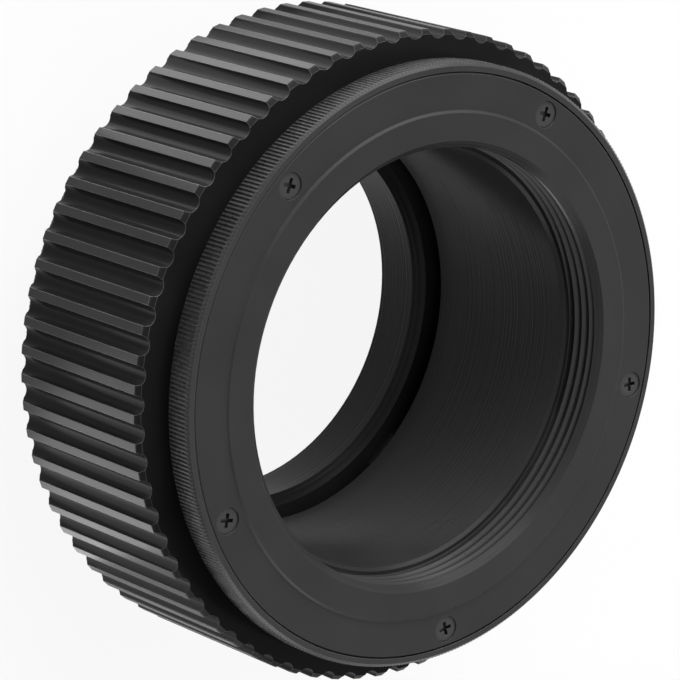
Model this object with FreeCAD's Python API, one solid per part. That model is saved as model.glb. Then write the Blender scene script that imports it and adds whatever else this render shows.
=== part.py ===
import FreeCAD
import Part
import math
import os

# Focusing helicoid adapter for screw-mount lenses, closed to its shortest length.
# Turning the fluted ring drives the front barrel straight out, by keys that stop it turning.
# Millimetres, +Z points to the lens, the origin is the centre of the rear tube's end face.

# Mount threads at both ends, as plain cylinders at their crests
THREAD_RADIUS = 21.0
THREAD_DEPTH = 0.54
THREAD_ALLOWANCE = 0.05

# Lengths along the axis
FLANGE_TO_FLANGE = 25.0
REAR_THREAD_LENGTH = 4.0
REAR_RUNOUT_LENGTH = 0.7
REGISTER_STEP = 0.2
UNDERCUT_DEPTH = 0.2
PLATE_THICKNESS = 1.4
BOSS_LENGTH = 4.1
FRONT_RIM_HEIGHT = 2.7
FRONT_GAP = 1.35
BASE_RIM_HEIGHT = 2.4
BASE_FLOOR = 2.2
LIP_THICKNESS = 1.15
RETAINER_THICKNESS = 1.85
COLLAR_RISE = 0.1
BARREL_REAR_GAP = 1.4
GRIP_FRONT_LIP = 0.6

# Walls, from the front thread outwards
BOSS_WALL = 1.6
BARREL_STEP_IN = 0.66
BARREL_FRONT_WALL = 1.35
SLEEVE_WALL = 1.15
LOW_LIP = 0.8
COLLAR_WALL = 1.05
GRIP_WALL = 1.7
RIM_STEP = 0.25
RIM_WALL = 0.85
REGISTER_SET_IN = 3.66
REAR_TUBE_WALL = 2.85

# Clearances
HELICOID_CLEARANCE = 0.05
BOND_GAP = 0.02
SEAT_CLEARANCE = 0.05
SEAM = 0.06
THRUST_CLEARANCE = 0.05
RETAINER_CLEARANCE = 0.2
COLLAR_CLEARANCE = 0.1
BEARING_CLEARANCE = 0.1
SHOULDER_CLEARANCE = 0.4
GRIP_REAR_GAP = 0.2
GRIP_LIP_CLEARANCE = 0.4
BASE_BORE_CLEARANCE = 0.4
SCREW_CLEARANCE = 0.03

# Fluted grip
FLUTE_COUNT = 72
FLUTE_DEPTH = 0.8
LAND_WIDTH = 0.82
GRIP_CHAMFER = 0.45

# Edges
LEAD_IN = 0.64
RIM_CHAMFER = 0.35
RIM_BACK_CHAMFER = 0.15
PLATE_EDGE = 0.15
TUBE_CHAMFER = 0.5
BARREL_CHAMFER = 0.4
BARREL_MOUTH = 0.3
REAR_MOUTH = 0.9

# Plate screws, and the turn at which the driver left each of them
PLATE_SCREW_COUNT = 5
PLATE_SCREW_INSET = 1.74
PLATE_SCREW_HEAD_RADIUS = 1.22
PLATE_SCREW_SHANK_RADIUS = 0.68
PLATE_SCREW_LENGTH = 2.2
PLATE_SCREW_TURNS = (30.0, 58.0, 8.0, 14.0, 11.0)
SCREW_SINK = 0.14
CROSS_LENGTH = 1.38
CROSS_ARM = 0.37
CROSS_DEPTH = 0.45
TAPPED_HOLE_END = 0.2

# Guide keys
KEY_COUNT = 3
KEY_TURN = 60.0
KEY_WIDTH = 4.0
KEYWAY_DEPTH = 1.7
KEYWAY_END_WALL = 0.8
KEY_SIDE_CLEARANCE = 0.04
KEY_FACE_CLEARANCE = 0.12
KEY_END_CLEARANCE = 0.3
KEY_FOOT_CLEARANCE = 0.25
KEY_FOOT_LENGTH = 1.9
KEY_SCREW_INSET = 0.95
KEY_SCREW_HEAD_RADIUS = 0.8
KEY_SCREW_SHANK_RADIUS = 0.45
KEY_SCREW_LENGTH = 1.9
KEY_SCREW_SLOT = 0.3
KEY_SCREW_SLOT_DEPTH = 0.25

# Turn stop and retaining ring
FOCUS_TURN = 270.0
STOP_PIN_TURN = 36.0
STOP_PIN_RADIUS = 0.4
STOP_PIN_SEAT = 1.6
STOP_PIN_CLEARANCE = 0.05
STOP_MARGIN = 0.6
NOTCH_COUNT = 4
NOTCH_WIDTH = 1.4
NOTCH_DEPTH = 0.8

# Radii that follow from the sizes above
thread_minor = THREAD_RADIUS - THREAD_DEPTH
boss_radius = THREAD_RADIUS + BOSS_WALL
boss_seat = boss_radius + SEAT_CLEARANCE
barrel_bore = thread_minor - BARREL_STEP_IN
helicoid_radius = boss_seat + BARREL_FRONT_WALL
sleeve_bore = helicoid_radius + HELICOID_CLEARANCE
sleeve_radius = sleeve_bore + SLEEVE_WALL
grip_bore = sleeve_radius + BOND_GAP
grip_lip_radius = helicoid_radius + GRIP_LIP_CLEARANCE
retainer_bore = sleeve_radius + RETAINER_CLEARANCE
low_lip_radius = sleeve_radius + LOW_LIP
pin_circle = low_lip_radius + STOP_PIN_CLEARANCE + STOP_PIN_RADIUS
high_lip_radius = pin_circle + STOP_PIN_RADIUS
collar_bore = high_lip_radius + COLLAR_CLEARANCE
retainer_radius = collar_bore - BOND_GAP
collar_radius = collar_bore + COLLAR_WALL
bearing_bore = collar_radius + BEARING_CLEARANCE
flute_root = bearing_bore + GRIP_WALL
grip_radius = flute_root + FLUTE_DEPTH
rim_radius = collar_radius + RIM_STEP
recess_radius = rim_radius - RIM_WALL
plate_radius = recess_radius - SEAM
register_radius = plate_radius - REGISTER_SET_IN
register_foot = register_radius + REGISTER_STEP
screw_circle = recess_radius - PLATE_SCREW_INSET
base_bore = helicoid_radius + BASE_BORE_CLEARANCE
rear_tube_radius = THREAD_RADIUS - THREAD_ALLOWANCE
rear_tube_root = rear_tube_radius - THREAD_DEPTH
seat_inner = rear_tube_radius + UNDERCUT_DEPTH
rear_bore = rear_tube_radius - REAR_TUBE_WALL
keyway_floor = helicoid_radius - KEYWAY_DEPTH
key_inner = keyway_floor + KEY_FACE_CLEARANCE
key_outer = helicoid_radius - KEY_FACE_CLEARANCE
key_foot_inner = key_inner - KEY_FOOT_LENGTH

# Heights that follow from the sizes above
z_seat = REAR_THREAD_LENGTH
z_rear_face = z_seat + REGISTER_STEP
z_rear_inner = z_rear_face + PLATE_THICKNESS
z_base_rim_top = z_rear_face + BASE_RIM_HEIGHT
z_floor_top = z_rear_inner + BASE_FLOOR
z_lip_bottom = z_floor_top + THRUST_CLEARANCE
z_lip_top = z_lip_bottom + LIP_THICKNESS
z_retainer_bottom = z_lip_top + THRUST_CLEARANCE
z_retainer_top = z_retainer_bottom + RETAINER_THICKNESS
z_collar_top = z_retainer_top + COLLAR_RISE
z_shoulder = z_collar_top + SHOULDER_CLEARANCE
z_register = z_seat + FLANGE_TO_FLANGE
z_front_face = z_register - REGISTER_STEP
z_front_inner = z_front_face - PLATE_THICKNESS
z_boss_end = z_register - BOSS_LENGTH
z_rim_back = z_front_face - FRONT_RIM_HEIGHT
z_grip_front = z_rim_back - FRONT_GAP
z_grip_rear = z_base_rim_top + GRIP_REAR_GAP
z_sleeve_seat = z_grip_front - GRIP_FRONT_LIP
z_sleeve_top = z_sleeve_seat - BOND_GAP
z_barrel_end = z_rear_inner + BARREL_REAR_GAP
z_keyway_top = z_boss_end - KEYWAY_END_WALL
z_key_top = z_keyway_top - KEY_END_CLEARANCE
z_key_foot = z_barrel_end - KEY_FOOT_CLEARANCE

CENTRE = FreeCAD.Vector(0, 0, 0)
AXIS = FreeCAD.Vector(0, 0, 1)


def turned(outline, sweep=360.0):
    """Solid turned about the axis from an outline of (radius, height) points."""
    points = [FreeCAD.Vector(radius, 0, height) for radius, height in outline]
    face = Part.Face(Part.makePolygon(points + points[:1]))
    return face.revolve(CENTRE, AXIS, sweep)


def around(shape, count, first=0.0):
    """Copies of a shape, evenly spaced about the axis."""
    copies = []
    for index in range(count):
        copy = shape.copy()
        copy.rotate(CENTRE, AXIS, first + index * 360.0 / count)
        copies.append(copy)
    return copies


def countersunk(head_radius, shank_radius, length):
    """Countersunk form with a right-angled cone, its flat end up at the depth that heads sink to."""
    return turned([
        (0, -SCREW_SINK),
        (head_radius, -SCREW_SINK),
        (shank_radius, shank_radius - head_radius - SCREW_SINK),
        (shank_radius, -length - SCREW_SINK),
        (0, -length - SCREW_SINK),
    ])


def screw_hole(head_radius, shank_radius, length):
    """Cutter for a screw's hole: a straight mouth, a seat for the cone, and an end below the screw."""
    mouth = head_radius + SCREW_CLEARANCE
    seat = countersunk(mouth, shank_radius + SCREW_CLEARANCE, length + TAPPED_HOLE_END)
    return seat.fuse(Part.makeCylinder(mouth, SCREW_SINK, FreeCAD.Vector(0, 0, -SCREW_SINK)))


def slot_cutter(length, width, depth):
    """Cutter for a driver's slot across the face of a sunk screw head."""
    corner = FreeCAD.Vector(-length / 2, -width / 2, -depth - SCREW_SINK)
    return Part.makeBox(length, width, depth, corner)


def plate_screw():
    """Cross-recess screw, sunk below the face of its plate at zero height."""
    body = countersunk(PLATE_SCREW_HEAD_RADIUS, PLATE_SCREW_SHANK_RADIUS, PLATE_SCREW_LENGTH)
    arm = slot_cutter(CROSS_LENGTH, CROSS_ARM, CROSS_DEPTH)
    return body.cut([arm, arm.rotated(CENTRE, AXIS, 90)])


def driven_screws(on_plate):
    """The screws of one plate, each turned to where the driver left it."""
    screws = []
    for index in range(PLATE_SCREW_COUNT):
        turn = PLATE_SCREW_TURNS[index % len(PLATE_SCREW_TURNS)]
        screws.append(on_plate(plate_screw().rotated(CENTRE, AXIS, turn))[index])
    return Part.makeCompound(screws)


def plate_screw_hole():
    """Cutter for a plate screw's hole."""
    return screw_hole(PLATE_SCREW_HEAD_RADIUS, PLATE_SCREW_SHANK_RADIUS, PLATE_SCREW_LENGTH)


def on_front_plate(shape):
    """Five copies of a screw-sized shape, moved to the front plate's screw circle."""
    return around(shape.translated(FreeCAD.Vector(screw_circle, 0, z_front_face)), PLATE_SCREW_COUNT)


def on_rear_plate(shape):
    """Five copies of a screw-sized shape, turned over and moved to the rear plate's screw circle."""
    flipped = shape.rotated(CENTRE, FreeCAD.Vector(1, 0, 0), 180)
    return around(flipped.translated(FreeCAD.Vector(screw_circle, 0, z_rear_face)), PLATE_SCREW_COUNT)


def on_key_feet(shape):
    """Copies of a screw-sized shape on the feet of the guide keys."""
    place = FreeCAD.Vector(key_foot_inner + KEY_SCREW_INSET, 0, z_key_foot)
    return around(shape.translated(place), KEY_COUNT, KEY_TURN)


def front_mount_plate():
    """Disc that takes the lens: raised seat, threaded bore with a lead-in, and a boss behind."""
    body = turned([
        (thread_minor, z_boss_end),
        (boss_radius - PLATE_EDGE, z_boss_end),
        (boss_radius, z_boss_end + PLATE_EDGE),
        (boss_radius, z_front_inner),
        (plate_radius, z_front_inner),
        (plate_radius, z_front_face - PLATE_EDGE),
        (plate_radius - PLATE_EDGE, z_front_face),
        (register_foot, z_front_face),
        (register_radius, z_register),
        (thread_minor + LEAD_IN, z_register),
        (thread_minor, z_register - LEAD_IN),
    ])
    return body.cut(on_front_plate(plate_screw_hole()))


def front_barrel():
    """Sliding tube with the outside helicoid, a knurled rim, a seat for the plate and keyways."""
    body = turned([
        (barrel_bore, z_barrel_end),
        (helicoid_radius - BARREL_CHAMFER, z_barrel_end),
        (helicoid_radius, z_barrel_end + BARREL_CHAMFER),
        (helicoid_radius, z_rim_back),
        (rim_radius - RIM_BACK_CHAMFER, z_rim_back),
        (rim_radius, z_rim_back + RIM_BACK_CHAMFER),
        (rim_radius, z_front_face - RIM_CHAMFER),
        (rim_radius - RIM_CHAMFER, z_front_face),
        (recess_radius, z_front_face),
        (recess_radius, z_front_inner),
        (boss_seat, z_front_inner),
        (boss_seat, z_boss_end),
        (barrel_bore + BARREL_MOUTH, z_boss_end),
        (barrel_bore, z_boss_end - BARREL_MOUTH),
    ])
    width = KEY_WIDTH + 2 * KEY_SIDE_CLEARANCE
    corner = FreeCAD.Vector(keyway_floor, -width / 2, 0)
    keyway = Part.makeBox(KEYWAY_DEPTH + HELICOID_CLEARANCE, width, z_keyway_top, corner)
    cutters = around(keyway, KEY_COUNT, KEY_TURN) + on_front_plate(plate_screw_hole())
    return body.cut(cutters)


def focus_grip_ring():
    """Outer ring that the fingers turn: flutes all round, bevelled ends, a lip over the sleeve."""
    body = turned([
        (grip_bore, z_shoulder),
        (bearing_bore, z_shoulder),
        (bearing_bore, z_grip_rear),
        (grip_radius - GRIP_CHAMFER, z_grip_rear),
        (grip_radius, z_grip_rear + GRIP_CHAMFER),
        (grip_radius, z_grip_front - GRIP_CHAMFER),
        (grip_radius - GRIP_CHAMFER, z_grip_front),
        (grip_lip_radius, z_grip_front),
        (grip_lip_radius, z_sleeve_seat),
        (grip_bore, z_sleeve_seat),
    ])
    return body.common(fluted_bar())


def fluted_bar():
    """Bar as long as the grip, with round flutes between narrow lands."""
    pitch = 2 * math.pi / FLUTE_COUNT
    half_land = LAND_WIDTH / grip_radius / 2
    edges = []
    for index in range(FLUTE_COUNT):
        middle = index * pitch
        before = rim_point(grip_radius, middle - half_land)
        after = rim_point(grip_radius, middle + half_land)
        root = rim_point(flute_root, middle + pitch / 2)
        following = rim_point(grip_radius, middle + pitch - half_land)
        edges.append(Part.Arc(before, rim_point(grip_radius, middle), after).toShape())
        edges.append(Part.Arc(after, root, following).toShape())
    return Part.Face(Part.Wire(edges)).extrude(AXIS * (z_grip_front - z_grip_rear))


def rim_point(radius, angle):
    """Point at the height of the grip's rear face."""
    return FreeCAD.Vector(radius * math.cos(angle), radius * math.sin(angle), z_grip_rear)


def helicoid_sleeve():
    """Brass driving sleeve; its lip is cut away over the turn, and what is left meets the stop pin."""
    body = turned([
        (sleeve_bore, z_lip_bottom),
        (high_lip_radius, z_lip_bottom),
        (high_lip_radius, z_lip_top),
        (sleeve_radius, z_lip_top),
        (sleeve_radius, z_sleeve_top),
        (sleeve_bore, z_sleeve_top),
    ])
    relief = turned([
        (low_lip_radius, z_lip_bottom),
        (collar_bore, z_lip_bottom),
        (collar_bore, z_lip_top),
        (low_lip_radius, z_lip_top),
    ], FOCUS_TURN + 2 * stop_half_angle())
    relief.rotate(CENTRE, AXIS, STOP_PIN_TURN - stop_half_angle())
    return body.cut(relief)


def stop_half_angle():
    """Angle from the pin's centre to the lip where it comes to rest, in degrees."""
    return math.degrees(math.asin(STOP_PIN_RADIUS / pin_circle)) + STOP_MARGIN


def base_ring():
    """Fixed ring with a knurled rim, a collar that carries the grip, and a recess for the rear plate."""
    body = turned([
        (base_bore, z_rear_inner),
        (recess_radius, z_rear_inner),
        (recess_radius, z_rear_face),
        (rim_radius - RIM_CHAMFER, z_rear_face),
        (rim_radius, z_rear_face + RIM_CHAMFER),
        (rim_radius, z_base_rim_top - RIM_BACK_CHAMFER),
        (rim_radius - RIM_BACK_CHAMFER, z_base_rim_top),
        (collar_radius, z_base_rim_top),
        (collar_radius, z_collar_top),
        (collar_bore, z_collar_top),
        (collar_bore, z_floor_top),
        (base_bore, z_floor_top),
    ])
    pin_hole = Part.makeCylinder(STOP_PIN_RADIUS + SCREW_CLEARANCE, STOP_PIN_SEAT, stop_pin_foot())
    pin_hole.rotate(CENTRE, AXIS, STOP_PIN_TURN)
    return body.cut(on_rear_plate(plate_screw_hole()) + [pin_hole])


def stop_pin_foot():
    """Foot of the stop pin before it is turned to its place."""
    return FreeCAD.Vector(pin_circle, 0, z_floor_top - STOP_PIN_SEAT)


def stop_pin():
    """Pin pressed into the base's floor beside the sleeve's lip."""
    height = z_lip_top - z_floor_top + STOP_PIN_SEAT
    pin = Part.makeCylinder(STOP_PIN_RADIUS, height, stop_pin_foot())
    return pin.rotated(CENTRE, AXIS, STOP_PIN_TURN)


def retaining_ring():
    """Threaded ring in the collar over the sleeve's lip, with notches for a spanner."""
    body = turned([
        (retainer_bore, z_retainer_bottom),
        (retainer_radius, z_retainer_bottom),
        (retainer_radius, z_retainer_top),
        (retainer_bore, z_retainer_top),
    ])
    corner = FreeCAD.Vector(retainer_bore - RETAINER_CLEARANCE, -NOTCH_WIDTH / 2, z_retainer_top - NOTCH_DEPTH)
    notch = Part.makeBox(collar_bore - corner.x, NOTCH_WIDTH, NOTCH_DEPTH, corner)
    return body.cut(around(notch, NOTCH_COUNT))


def guide_key():
    """Finger that stands in a keyway of the barrel, on a foot screwed to the rear plate."""
    outline = [
        (key_foot_inner, z_rear_inner),
        (helicoid_radius, z_rear_inner),
        (helicoid_radius, z_key_top),
        (key_inner, z_key_top),
        (key_inner, z_key_foot),
        (key_foot_inner, z_key_foot),
    ]
    points = [FreeCAD.Vector(radius, -KEY_WIDTH / 2, height) for radius, height in outline]
    blank = Part.Face(Part.makePolygon(points + points[:1])).extrude(FreeCAD.Vector(0, KEY_WIDTH, 0))
    finger = blank.common(Part.makeCylinder(key_outer, z_key_top))
    hole = key_screw_hole().translated(FreeCAD.Vector(key_foot_inner + KEY_SCREW_INSET, 0, z_key_foot))
    return finger.cut(hole)


def key_screw():
    """Slotted screw, sunk below the top of a key's foot at zero height."""
    body = countersunk(KEY_SCREW_HEAD_RADIUS, KEY_SCREW_SHANK_RADIUS, KEY_SCREW_LENGTH)
    return body.cut(slot_cutter(2 * KEY_SCREW_HEAD_RADIUS, KEY_SCREW_SLOT, KEY_SCREW_SLOT_DEPTH))


def key_screw_hole():
    """Cutter for a key screw's hole."""
    return screw_hole(KEY_SCREW_HEAD_RADIUS, KEY_SCREW_SHANK_RADIUS, KEY_SCREW_LENGTH)


def rear_mount_plate():
    """Disc with the male threaded tube for the camera, let into the base ring."""
    body = turned([
        (rear_bore, 0),
        (rear_tube_radius - TUBE_CHAMFER, 0),
        (rear_tube_radius, TUBE_CHAMFER),
        (rear_tube_radius, z_seat - REAR_RUNOUT_LENGTH),
        (rear_tube_root, z_seat - REAR_RUNOUT_LENGTH),
        (rear_tube_root, z_seat + UNDERCUT_DEPTH),
        (seat_inner, z_seat + UNDERCUT_DEPTH),
        (seat_inner, z_seat),
        (register_radius, z_seat),
        (register_foot, z_rear_face),
        (plate_radius - PLATE_EDGE, z_rear_face),
        (plate_radius, z_rear_face + PLATE_EDGE),
        (plate_radius, z_rear_inner),
        (rear_bore + REAR_MOUTH, z_rear_inner),
        (rear_bore, z_rear_inner - REAR_MOUTH),
    ])
    return body.cut(on_rear_plate(plate_screw_hole()) + on_key_feet(key_screw_hole()))


def save(name, shape):
    """Writes one piece, or one group of like fasteners, under its name."""
    shape.exportStep(os.path.join("parts", name + ".step"))


os.makedirs("parts", exist_ok=True)
save("rear_mount_plate", rear_mount_plate())
save("rear_plate_screws", driven_screws(on_rear_plate))
save("base_ring", base_ring())
save("stop_pin", stop_pin())
save("retaining_ring", retaining_ring())
for number, key in enumerate(around(guide_key(), KEY_COUNT, KEY_TURN), start=1):
    save("guide_key_%d" % number, key)
save("guide_key_screws", Part.makeCompound(on_key_feet(key_screw())))
save("helicoid_sleeve", helicoid_sleeve())
save("focus_grip_ring", focus_grip_ring())
save("front_barrel", front_barrel())
save("front_mount_plate", front_mount_plate())
save("front_plate_screws", driven_screws(on_front_plate))
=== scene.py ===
import math

import bmesh
import bpy
from mathutils import Matrix, Vector


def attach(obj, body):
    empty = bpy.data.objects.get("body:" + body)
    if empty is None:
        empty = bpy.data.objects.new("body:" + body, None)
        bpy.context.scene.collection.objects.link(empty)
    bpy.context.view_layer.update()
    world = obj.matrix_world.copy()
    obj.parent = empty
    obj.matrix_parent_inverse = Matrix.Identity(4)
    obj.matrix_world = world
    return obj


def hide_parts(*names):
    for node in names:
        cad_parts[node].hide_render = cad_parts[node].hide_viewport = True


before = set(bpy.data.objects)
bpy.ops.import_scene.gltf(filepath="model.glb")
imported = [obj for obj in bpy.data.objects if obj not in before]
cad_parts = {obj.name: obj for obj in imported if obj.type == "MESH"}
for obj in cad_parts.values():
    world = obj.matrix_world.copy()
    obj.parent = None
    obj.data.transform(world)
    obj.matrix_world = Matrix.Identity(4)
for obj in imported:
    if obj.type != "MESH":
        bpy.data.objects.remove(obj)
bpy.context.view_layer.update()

# Rear mount plate: a disc turned from aluminium bar and dyed black, let into the base ring.
# Its short tube carries the male camera thread, which runs out into an undercut at the seat.
mm = 0.001
weld = 0.0005 * mm


def without_bands(node, bands):
    """The surface of a CAD piece, less the bands of wall that a cut form takes the place of.

    Each band is given by its inner radius, the radius of its crest, and its low and high ends.
    """
    slack = 0.02 * mm
    shell = bmesh.new()
    shell.from_mesh(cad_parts[node].data)
    bmesh.ops.remove_doubles(shell, verts=shell.verts, dist=weld)
    taken = []
    for face in shell.faces:
        reach = [math.hypot(corner.co.x, corner.co.y) for corner in face.verts]
        heights = [corner.co.z for corner in face.verts]
        for inner, crest, low, high in bands:
            in_reach = min(reach) > inner - slack and abs(max(reach) - crest) < slack
            if in_reach and min(heights) > low - slack and max(heights) < high + slack:
                taken.append(face)
    bmesh.ops.delete(shell, geom=taken, context="FACES")
    return shell


def cut_thread(crest, root, pitch, starts, low, high, runout):
    """A right-hand thread that climbs round the axis and runs out into the plain wall at both ends."""
    thread = bmesh.new()
    ridge = [(0.0, 0.0), (0.12, 0.0), (0.48, 1.0), (0.64, 1.0)]
    steps = 180
    lead = pitch * starts
    lines = []
    for turn in range(math.floor((low - lead) / pitch), math.ceil(high / pitch) + 1):
        for along, sunk in ridge:
            line = []
            for step in range(steps + 1):
                height = (turn + along) * pitch + lead * step / steps
                height = min(max(height, low), high)
                depth = sunk * min(1.0, (height - low) / runout, (high - height) / runout)
                radius = crest + (root - crest) * depth
                angle = 2 * math.pi * step / steps
                line.append(thread.verts.new((radius * math.cos(angle), radius * math.sin(angle), height)))
            lines.append(line)
    for lower, upper in zip(lines, lines[1:]):
        for step in range(steps):
            corners = [lower[step], lower[step + 1], upper[step + 1], upper[step]]
            heights = [corner.co.z for corner in corners]
            if max(heights) - min(heights) > 0.001 * mm:
                thread.faces.new(corners if root < crest else corners[::-1])
    loose = [corner for corner in thread.verts if not corner.link_faces]
    bmesh.ops.delete(thread, geom=loose, context="VERTS")
    bmesh.ops.remove_doubles(thread, verts=thread.verts, dist=weld)
    return thread


def lay_in(shell, cut_form):
    """Puts a thread or knurl in the place of the wall that was taken off."""
    carrier = bpy.data.meshes.new("cut_form")
    cut_form.to_mesh(carrier)
    cut_form.free()
    shell.from_mesh(carrier)
    bpy.data.meshes.remove(carrier)


def turned_piece(shell, name, body, node, finish):
    """Makes the shell a piece of the scene that stands for its CAD node."""
    loose = [corner for corner in shell.verts if not corner.link_faces]
    bmesh.ops.delete(shell, geom=loose, context="VERTS")
    mesh = bpy.data.meshes.new(name)
    shell.to_mesh(mesh)
    shell.free()
    if "custom_normal" in mesh.attributes:
        mesh.attributes.remove(mesh.attributes["custom_normal"])
    mesh.materials.clear()
    mesh.materials.append(finish)
    mesh.polygons.foreach_set("material_index", [0] * len(mesh.polygons))
    mesh.polygons.foreach_set("use_smooth", [True] * len(mesh.polygons))
    mesh.set_sharp_from_angle(angle=math.radians(28))
    piece = bpy.data.objects.new(name, mesh)
    bpy.context.scene.collection.objects.link(piece)
    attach(piece, body)
    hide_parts(node)
    return piece


def dress(piece, finish, chosen):
    """Gives the faces of a piece that a rule picks out by their middles a finish of their own."""
    piece.data.materials.append(finish)
    for face in piece.data.polygons:
        if chosen(face.center):
            face.material_index = len(piece.data.materials) - 1


def turned_metal(name, deep, edge_wear_and_glint, gloss, metallic=0.0, line_height=0.0, grain_height=0.0,
                 ior=1.7, edge_radius=0.06, clouds=130.0):
    """Lathe-turned metal: fine lines round the axis, a blasted grain, cloudy gloss and paler sharp edges.

    The dye is deep on the faces. The paler colour on sharp edges is partly dye rubbed off and partly
    painted highlights and glints. Heights and the edge radius are in millimetres.
    """
    finish = bpy.data.materials.new(name)
    finish.use_nodes = True
    nodes = finish.node_tree.nodes
    links = finish.node_tree.links
    surface = nodes["Principled BSDF"]
    surface.inputs["Metallic"].default_value = metallic
    surface.inputs["IOR"].default_value = ior

    place = nodes.new("ShaderNodeTexCoord")
    flat = nodes.new("ShaderNodeVectorMath")
    flat.operation = "MULTIPLY"
    flat.inputs[1].default_value = (1.0, 1.0, 0.0)
    links.new(place.outputs["Object"], flat.inputs[0])
    reach = nodes.new("ShaderNodeVectorMath")
    reach.operation = "LENGTH"
    reach.name = "reach"
    links.new(flat.outputs["Vector"], reach.inputs[0])
    height = nodes.new("ShaderNodeSeparateXYZ")
    links.new(place.outputs["Object"], height.inputs["Vector"])
    lathe = nodes.new("ShaderNodeCombineXYZ")
    links.new(reach.outputs["Value"], lathe.inputs["X"])
    links.new(height.outputs["Z"], lathe.inputs["Z"])

    lines = nodes.new("ShaderNodeTexNoise")
    lines.inputs["Scale"].default_value = 4200.0
    lines.inputs["Detail"].default_value = 1.5
    links.new(lathe.outputs["Vector"], lines.inputs["Vector"])
    grain = nodes.new("ShaderNodeTexNoise")
    grain.inputs["Scale"].default_value = 9500.0
    grain.inputs["Detail"].default_value = 2.0
    links.new(place.outputs["Object"], grain.inputs["Vector"])
    cloud = nodes.new("ShaderNodeTexNoise")
    cloud.inputs["Scale"].default_value = clouds
    cloud.inputs["Detail"].default_value = 4.0
    links.new(place.outputs["Object"], cloud.inputs["Vector"])

    rounded = nodes.new("ShaderNodeBevel")
    rounded.samples = 4
    rounded.inputs["Radius"].default_value = edge_radius * mm
    true_face = nodes.new("ShaderNodeNewGeometry")
    agree = nodes.new("ShaderNodeVectorMath")
    agree.operation = "DOT_PRODUCT"
    links.new(rounded.outputs["Normal"], agree.inputs[0])
    links.new(true_face.outputs["Normal"], agree.inputs[1])
    edge = nodes.new("ShaderNodeMapRange")
    edge.inputs["From Min"].default_value = 0.995
    edge.inputs["From Max"].default_value = 0.86
    links.new(agree.outputs["Value"], edge.inputs["Value"])
    # edge mask times clouds: partly real wear, partly painted glints along sharp edges
    wear_and_glint_mask = nodes.new("ShaderNodeMath")
    wear_and_glint_mask.operation = "MULTIPLY"
    links.new(edge.outputs["Result"], wear_and_glint_mask.inputs[0])
    links.new(cloud.outputs["Fac"], wear_and_glint_mask.inputs[1])

    shade = nodes.new("ShaderNodeValToRGB")
    shade.color_ramp.elements[0].position = 0.3
    shade.color_ramp.elements[0].color = (*deep, 1.0)
    shade.color_ramp.elements[1].position = 0.72
    shade.color_ramp.elements[1].color = (*[1.35 * part for part in deep], 1.0)
    links.new(cloud.outputs["Fac"], shade.inputs["Fac"])
    skin = nodes.new("ShaderNodeMix")
    skin.data_type = "RGBA"
    links.new(wear_and_glint_mask.outputs["Value"], skin.inputs["Factor"])
    links.new(shade.outputs["Color"], skin.inputs["A"])
    skin.inputs["B"].default_value = (*edge_wear_and_glint, 1.0)
    links.new(skin.outputs["Result"], surface.inputs["Base Color"])

    sheen = nodes.new("ShaderNodeMapRange")
    sheen.name = "sheen"
    sheen.inputs["From Min"].default_value = 0.25
    sheen.inputs["From Max"].default_value = 0.75
    sheen.inputs["To Min"].default_value = gloss - 0.05
    sheen.inputs["To Max"].default_value = gloss + 0.05
    links.new(cloud.outputs["Fac"], sheen.inputs["Value"])
    links.new(sheen.outputs["Result"], surface.inputs["Roughness"])

    turning = nodes.new("ShaderNodeBump")
    turning.inputs["Distance"].default_value = line_height * mm
    links.new(lines.outputs["Fac"], turning.inputs["Height"])
    links.new(rounded.outputs["Normal"], turning.inputs["Normal"])
    blasting = nodes.new("ShaderNodeBump")
    blasting.inputs["Distance"].default_value = grain_height * mm
    links.new(grain.outputs["Fac"], blasting.inputs["Height"])
    links.new(turning.outputs["Normal"], blasting.inputs["Normal"])
    links.new(blasting.outputs["Normal"], surface.inputs["Normal"])
    return finish


plate_black = turned_metal(
    "black_anodised_plate", deep=(0.02, 0.02, 0.0207), edge_wear_and_glint=(0.088, 0.088, 0.09), gloss=0.42,
    line_height=0.006, grain_height=0.006, ior=1.3, edge_radius=0.12)

# the tool's lines in a bore draw its sheen out along the axis
bore_black = turned_metal(
    "black_anodised_bore", deep=(0.022, 0.022, 0.0227), edge_wear_and_glint=(0.044, 0.044, 0.045), gloss=0.32,
    line_height=0.06, grain_height=0.005, ior=1.22)
bore_surface = bore_black.node_tree.nodes["Principled BSDF"]
bore_surface.inputs["Anisotropic"].default_value = 0.75
bore_surface.inputs["Anisotropic Rotation"].default_value = 0.25
round_bore = bore_black.node_tree.nodes.new("ShaderNodeTangent")
round_bore.direction_type = "RADIAL"
round_bore.axis = "Z"
bore_black.node_tree.links.new(round_bore.outputs["Tangent"], bore_surface.inputs["Tangent"])

mount_pitch = 1.0 * mm
tube_crest, tube_root = 20.95 * mm, 20.43 * mm
tube_low, tube_high = 0.5 * mm, 3.3 * mm
tube_mouth = 19.05 * mm
shell = without_bands("rear_mount_plate", [(tube_crest, tube_crest, tube_low, tube_high)])
lay_in(shell, cut_thread(tube_crest, tube_root, mount_pitch, 1, tube_low, tube_high, runout=0.25 * mm))
rear_plate = turned_piece(
    shell, "rear_plate_threaded", "base", "rear_mount_plate", plate_black)
dress(rear_plate, bore_black, lambda middle: middle.xy.length < tube_mouth)

# Rear plate screws: five small countersunk steel screws with cross recesses, blackened in oil.
# They hold the rear plate to the base ring.
screw_black = turned_metal(
    "black_oxide_steel", deep=(0.032, 0.032, 0.0327), edge_wear_and_glint=(0.145, 0.145, 0.145), gloss=0.36,
    grain_height=0.004, ior=1.36)
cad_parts["rear_plate_screws"].data.materials[0] = screw_black

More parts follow.
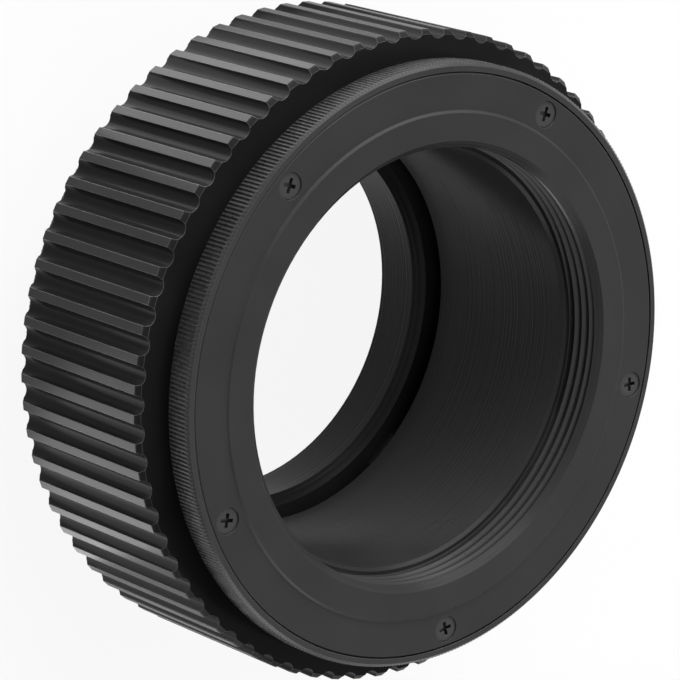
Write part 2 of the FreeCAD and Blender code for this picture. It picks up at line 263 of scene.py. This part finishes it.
# Base ring: the fixed aluminium ring that carries the focus ring on its collar.
# A straight knurl is rolled round its rim, and bevels break the ends of the grooves.
rim_crest = 28.25 * mm
outer_bevel, inner_bevel = 0.35 * mm, 0.15 * mm
knurl_depth = 0.13 * mm
knurl_teeth = 440
knurl_floor = rim_crest - 0.2 * mm
# The pale edge colour of the rim and knurl is partly wear and partly painted glints; on the knurl the small
# clouds break it into flecks along the teeth.
rim_black = turned_metal(
    "black_anodised_rim", deep=(0.02, 0.02, 0.0207), edge_wear_and_glint=(0.23, 0.23, 0.234), gloss=0.3,
    line_height=0.003, grain_height=0.005, ior=1.36)
knurl_black = turned_metal(
    "black_anodised_knurl", deep=(0.009, 0.009, 0.0094), edge_wear_and_glint=(0.42, 0.42, 0.427), gloss=0.3,
    grain_height=0.005, ior=1.22, edge_radius=0.04, clouds=2600.0)


def cut_knurl(low, high, low_edge, high_edge):
    """Straight grooves along a rim that run out through its bevelled edges."""
    knurl = bmesh.new()
    tooth = [(0.0, 0.0), (0.12, 0.0), (0.46, 1.0), (0.66, 1.0)]
    columns = []
    for number in range(knurl_teeth):
        for along, sunk in tooth:
            angle = 2 * math.pi * (number + along) / knurl_teeth
            radius = rim_crest - knurl_depth * sunk
            low_bevel = max(0.0, low_edge - knurl_depth * sunk)
            high_bevel = max(0.0, high_edge - knurl_depth * sunk)
            outline = [
                (min(rim_crest - low_edge, radius), low),
                (radius, low + low_bevel),
                (radius, high - high_bevel),
                (min(rim_crest - high_edge, radius), high),
            ]
            columns.append([
                knurl.verts.new((r * math.cos(angle), r * math.sin(angle), z)) for r, z in outline])
    for column, following in zip(columns, columns[1:] + columns[:1]):
        for step in range(3):
            knurl.faces.new([column[step], following[step], following[step + 1], column[step + 1]])
    bmesh.ops.remove_doubles(knurl, verts=knurl.verts, dist=weld)
    return knurl


base_low, base_high = 4.2 * mm, 6.6 * mm
shell = without_bands("base_ring", [(rim_crest - outer_bevel, rim_crest, base_low, base_high)])
lay_in(shell, cut_knurl(base_low, base_high, outer_bevel, inner_bevel))
base_ring = turned_piece(shell, "base_ring_knurled", "base", "base_ring", rim_black)
dress(base_ring, knurl_black, lambda middle: middle.xy.length > knurl_floor)

# Stop pin: a ground steel pin pressed into the base's floor.
# The lip of the brass sleeve comes to rest against it at both ends of the turn.
pin_steel = turned_metal(
    "ground_steel", deep=(0.5, 0.5, 0.51), edge_wear_and_glint=(0.62, 0.62, 0.62), gloss=0.24,
    metallic=1.0, line_height=0.002)
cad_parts["stop_pin"].data.materials[0] = pin_steel

# Retaining ring: a thin black aluminium ring screwed into the collar over the sleeve's lip.
# Four notches in its face take the spanner.
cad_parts["retaining_ring"].data.materials[0] = plate_black

# Guide keys: three milled brass fingers on the rear plate that stand in the barrel's keyways.
# They are blackened against stray light, and keep the barrel from turning with the focus ring.
key_brass = turned_metal(
    "blackened_brass", deep=(0.042, 0.038, 0.034), edge_wear_and_glint=(0.34, 0.25, 0.12), gloss=0.42,
    metallic=0.3, line_height=0.002, grain_height=0.004)
for number in (1, 2, 3):
    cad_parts["guide_key_%d" % number].data.materials[0] = key_brass

# Guide key screws: slotted countersunk screws of bright steel.
# One goes through the foot of each key into the rear plate.
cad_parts["guide_key_screws"].data.materials[0] = pin_steel

# Helicoid sleeve: turned from brass and bonded in the focus ring.
# Eight threads side by side run up its bore and drive the barrel out as the ring is turned.
helicoid_pitch = 2.0 * mm
helicoid_starts = 8
helicoid_depth = 0.5 * mm
sleeve_brass = turned_metal(
    "turned_brass", deep=(0.5, 0.34, 0.13), edge_wear_and_glint=(0.76, 0.58, 0.3), gloss=0.3,
    metallic=1.0, line_height=0.004, grain_height=0.003)
sleeve_crest = 24.05 * mm
sleeve_low, sleeve_high = 7.85 * mm, 24.13 * mm
shell = without_bands("helicoid_sleeve", [(sleeve_crest, sleeve_crest, sleeve_low, sleeve_high)])
lay_in(shell, cut_thread(
    sleeve_crest, sleeve_crest + helicoid_depth, helicoid_pitch, helicoid_starts,
    sleeve_low, sleeve_high, runout=0.4 * mm))
turned_piece(
    shell, "helicoid_sleeve_threaded", "focus_ring", "helicoid_sleeve", sleeve_brass)

# Focus grip ring: the wide aluminium ring that the fingers turn, dyed black after milling.
# Seventy-two round flutes leave narrow lands, which reflect more than the flutes and less sharply.
# Its pale edge colour is partly wear and partly painted highlights along the edges of the lands and flutes.
grip_black = turned_metal(
    "black_anodised_grip", deep=(0.012, 0.012, 0.0125), edge_wear_and_glint=(0.44, 0.44, 0.447), gloss=0.2,
    grain_height=0.003)
nodes = grip_black.node_tree.nodes
links = grip_black.node_tree.links
land = nodes.new("ShaderNodeMapRange")
land.inputs["From Min"].default_value = 30.45 * mm
land.inputs["From Max"].default_value = 30.55 * mm
links.new(nodes["reach"].outputs["Value"], land.inputs["Value"])
gleam = nodes.new("ShaderNodeMapRange")
gleam.inputs["To Min"].default_value = 1.11
gleam.inputs["To Max"].default_value = 1.26
links.new(land.outputs["Result"], gleam.inputs["Value"])
links.new(gleam.outputs["Result"], nodes["Principled BSDF"].inputs["IOR"])
brushed = nodes.new("ShaderNodeMath")
brushed.operation = "MULTIPLY_ADD"
brushed.inputs[1].default_value = 0.14
links.new(land.outputs["Result"], brushed.inputs[0])
links.new(nodes["sheen"].outputs["Result"], brushed.inputs[2])
links.new(brushed.outputs["Value"], nodes["Principled BSDF"].inputs["Roughness"])
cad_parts["focus_grip_ring"].data.materials[0] = grip_black

# Front barrel: the aluminium tube that slides straight out, with the helicoid cut on its outside.
# Its rim is knurled like the base ring's, and three keyways are milled through the threads.
barrel_crest = 24.0 * mm
barrel_low, barrel_high = 7.4 * mm, 26.1 * mm
barrel_rim_high = 28.8 * mm
keyway_top = 24.1 * mm
keyway_half = 2.04 * mm
keyway_turns = [math.radians(turn) for turn in (60, 180, 300)]
shell = without_bands("front_barrel", [
    (rim_crest - outer_bevel, rim_crest, barrel_high, barrel_rim_high),
    (barrel_crest, barrel_crest, barrel_low, barrel_high),
])
lay_in(shell, cut_knurl(barrel_high, barrel_rim_high, inner_bevel, outer_bevel))

thread = cut_thread(
    barrel_crest, barrel_crest - helicoid_depth, helicoid_pitch, helicoid_starts,
    barrel_low, barrel_high, runout=0.5 * mm)
keyway_sides = [(Vector((0, 0, keyway_top)), Vector((0, 0, 1)))]
for turn in keyway_turns:
    across = Vector((-math.sin(turn), math.cos(turn), 0))
    keyway_sides += [(keyway_half * across, across), (-keyway_half * across, across)]
for point, across in keyway_sides:
    geometry = thread.verts[:] + thread.edges[:] + thread.faces[:]
    bmesh.ops.bisect_plane(thread, geom=geometry, dist=0.0001 * mm, plane_co=point, plane_no=across)
milled_away = []
for face in thread.faces:
    middle = face.calc_center_median()
    for turn in keyway_turns:
        forward = middle.x * math.cos(turn) + middle.y * math.sin(turn)
        sideways = middle.y * math.cos(turn) - middle.x * math.sin(turn)
        if forward > 0 and abs(sideways) < keyway_half and middle.z < keyway_top:
            milled_away.append(face)
bmesh.ops.delete(thread, geom=milled_away, context="FACES")
lay_in(shell, thread)
barrel = turned_piece(shell, "front_barrel_threaded", "front", "front_barrel", bore_black)
rim_back = barrel_high - 0.01 * mm
dress(barrel, rim_black, lambda middle: middle.z > rim_back and middle.xy.length > barrel_crest)
dress(barrel, knurl_black, lambda middle: middle.xy.length > knurl_floor)

# Front mount plate: a turned and dyed aluminium disc with a raised seat for the lens.
# The female lens thread is cut through its boss, with a smooth lead-in at the mouth.
# The thread's reflectivity falls from crest to root, which paints shine on the crests and shade in the
# roots.
bore_crest, bore_root = 20.46 * mm, 21.0 * mm
bore_low, bore_high = 24.9 * mm, 28.36 * mm
bore_mouth = 21.05 * mm
shell = without_bands("front_mount_plate", [(bore_crest, bore_crest, bore_low, bore_high)])
lay_in(shell, cut_thread(bore_crest, bore_root, mount_pitch, 1, bore_low, bore_high, runout=0.2 * mm))
front_plate = turned_piece(
    shell, "front_plate_threaded", "front", "front_mount_plate", plate_black)
thread_black = turned_metal(
    "black_anodised_thread", deep=(0.02, 0.02, 0.0207), edge_wear_and_glint=(0.02, 0.02, 0.0207), gloss=0.28,
    grain_height=0.004, edge_radius=0.03)
nodes = thread_black.node_tree.nodes
links = thread_black.node_tree.links
# painted shade: the reflectivity drops towards the roots of the thread
root = nodes.new("ShaderNodeMapRange")
root.inputs["From Min"].default_value = 20.66 * mm
root.inputs["From Max"].default_value = 20.9 * mm
root.inputs["To Min"].default_value = 1.42
root.inputs["To Max"].default_value = 1.05
links.new(nodes["reach"].outputs["Value"], root.inputs["Value"])
links.new(root.outputs["Result"], nodes["Principled BSDF"].inputs["IOR"])
dress(front_plate, bore_black, lambda middle: middle.xy.length < bore_mouth)
dress(front_plate, thread_black, lambda middle: middle.xy.length < bore_mouth and middle.z < bore_high)

# Front plate screws: five blackened steel screws like the rear ones.
# They hold the plate to the barrel, and their heads lie just below its face.
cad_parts["front_plate_screws"].data.materials[0] = screw_black

# Floor: a wide white sheet under the standing part, which keeps its soft shadow.
# It reads as white paper, also in reflections, and from below it lets the rear end be seen.
floor_mesh = bpy.data.meshes.new("floor")
floor_mesh.from_pydata([(-2, -2, 0), (2, -2, 0), (2, 2, 0), (-2, 2, 0)], [], [(0, 1, 2, 3)])
floor = bpy.data.objects.new("floor", floor_mesh)
floor.location.z = -0.05 * mm
bpy.context.scene.collection.objects.link(floor)


def background_share(nodes, links, most):
    """How much a ray sees of the plain white: most of it straight, mirrored or through glass, else none."""
    ray = nodes.new("ShaderNodeLightPath")
    mirrored = nodes.new("ShaderNodeMath")
    mirrored.operation = "MAXIMUM"
    links.new(ray.outputs["Is Camera Ray"], mirrored.inputs[0])
    links.new(ray.outputs["Is Glossy Ray"], mirrored.inputs[1])
    through = nodes.new("ShaderNodeMath")
    through.operation = "MAXIMUM"
    links.new(mirrored.outputs["Value"], through.inputs[0])
    links.new(ray.outputs["Is Transmission Ray"], through.inputs[1])
    share = nodes.new("ShaderNodeMath")
    share.operation = "MULTIPLY"
    share.inputs[1].default_value = most
    links.new(through.outputs["Value"], share.inputs[0])
    return share.outputs["Value"]


paper = bpy.data.materials.new("white_paper")
paper.use_nodes = True
nodes = paper.node_tree.nodes
links = paper.node_tree.links
nodes.remove(nodes["Principled BSDF"])
matt = nodes.new("ShaderNodeBsdfDiffuse")
matt.inputs["Color"].default_value = (0.95, 0.95, 0.95, 1.0)
lit = nodes.new("ShaderNodeEmission")
lit.inputs["Strength"].default_value = 1.0
sheet = nodes.new("ShaderNodeMixShader")
links.new(background_share(nodes, links, 0.9), sheet.inputs["Fac"])
links.new(matt.outputs["BSDF"], sheet.inputs[1])
links.new(lit.outputs["Emission"], sheet.inputs[2])
side = nodes.new("ShaderNodeNewGeometry")
clear = nodes.new("ShaderNodeBsdfTransparent")
one_way = nodes.new("ShaderNodeMixShader")
links.new(side.outputs["Backfacing"], one_way.inputs["Fac"])
links.new(sheet.outputs["Shader"], one_way.inputs[1])
links.new(clear.outputs["BSDF"], one_way.inputs[2])
links.new(one_way.outputs["Shader"], nodes["Material Output"].inputs["Surface"])
floor_mesh.materials.append(paper)

# Studio light: a tent that is plain white to look at and in reflections. The light that it casts is dim,
# with a narrow bright panel on one side and two weak ones. A large soft box stands beside the bright
# panel and a weak one opposite, and two small lit sheets on the floor bring out the lands of the grip.
right = Vector((-0.49777, -0.59065, 0.63510))
up = Vector((0.62563, -0.75167, -0.20872))
key = Vector((0.743, -0.624, 0.242))
panels = [(key, 0.84, 0.98, 7.6), (-up, 0.5, 0.95, 0.55), (right, 0.3, 1.0, 0.55)]
tent = bpy.data.worlds.new("studio_tent")
bpy.context.scene.world = tent
tent.use_nodes = True
nodes = tent.node_tree.nodes
links = tent.node_tree.links
air = nodes["Background"]
air.inputs["Color"].default_value = (1.0, 1.0, 1.0, 1.0)
sky = nodes.new("ShaderNodeTexCoord")
dim = nodes.new("ShaderNodeValue")
dim.outputs["Value"].default_value = 0.1
level = dim.outputs["Value"]
for facing, begins, full, strength in panels:
    towards = nodes.new("ShaderNodeVectorMath")
    towards.operation = "DOT_PRODUCT"
    towards.inputs[1].default_value = facing
    links.new(sky.outputs["Generated"], towards.inputs[0])
    panel = nodes.new("ShaderNodeMapRange")
    panel.interpolation_type = "SMOOTHSTEP"
    panel.inputs["From Min"].default_value = begins
    panel.inputs["From Max"].default_value = full
    panel.inputs["To Max"].default_value = strength
    links.new(towards.outputs["Value"], panel.inputs["Value"])
    summed = nodes.new("ShaderNodeMath")
    summed.operation = "ADD"
    links.new(level, summed.inputs[0])
    links.new(panel.outputs["Result"], summed.inputs[1])
    level = summed.outputs["Value"]
shown = nodes.new("ShaderNodeMix")
links.new(background_share(nodes, links, 1.0), shown.inputs["Factor"])
links.new(level, shown.inputs["A"])
shown.inputs["B"].default_value = 1.0
links.new(shown.outputs["Result"], air.inputs["Strength"])


def soft_box(name, place, aim, width, power):
    """A square soft box, turned to what it lights and kept out of the picture itself."""
    lamp = bpy.data.lights.new(name, "AREA")
    lamp.shape = "SQUARE"
    lamp.size = width
    lamp.energy = power
    box = bpy.data.objects.new(name, lamp)
    bpy.context.scene.collection.objects.link(box)
    box.location = place
    box.rotation_euler = (Vector(aim) - Vector(place)).to_track_quat("-Z", "Y").to_euler()
    box.visible_camera = False


soft_box("soft_box_high", (0.27, -0.467, 0.24), (0, 0, 0.015), 0.5, 2.3)
soft_box("soft_box_low", (-0.33, 0.4, 0.16), (0, 0, 0.015), 0.3, 0.85)
soft_box("lit_sheet_left", (0.052, -0.02, 0.001), (0.052, -0.02, 1.0), 0.042, 0.018)
soft_box("lit_sheet_right", (0.0163, 0.0533, 0.001), (0.0163, 0.0533, 1.0), 0.042, 0.015)

# Camera: a long lens close above the part, rolled as the photograph is.
# Its place and tilt were found from the circles of the part in the photograph.
back = Vector((0.60067, 0.29344, 0.74369))
eye = bpy.data.cameras.new("camera")
eye.sensor_width = 36.0
eye.lens = 211.8
camera = bpy.data.objects.new("camera", eye)
bpy.context.scene.collection.objects.link(camera)
tilt = Matrix((right, up, back)).transposed().to_4x4()
camera.matrix_world = Matrix.Translation((0.2250, 0.1101, 0.2942)) @ tilt
bpy.context.scene.camera = camera
bpy.context.scene.view_settings.view_transform = "Standard"
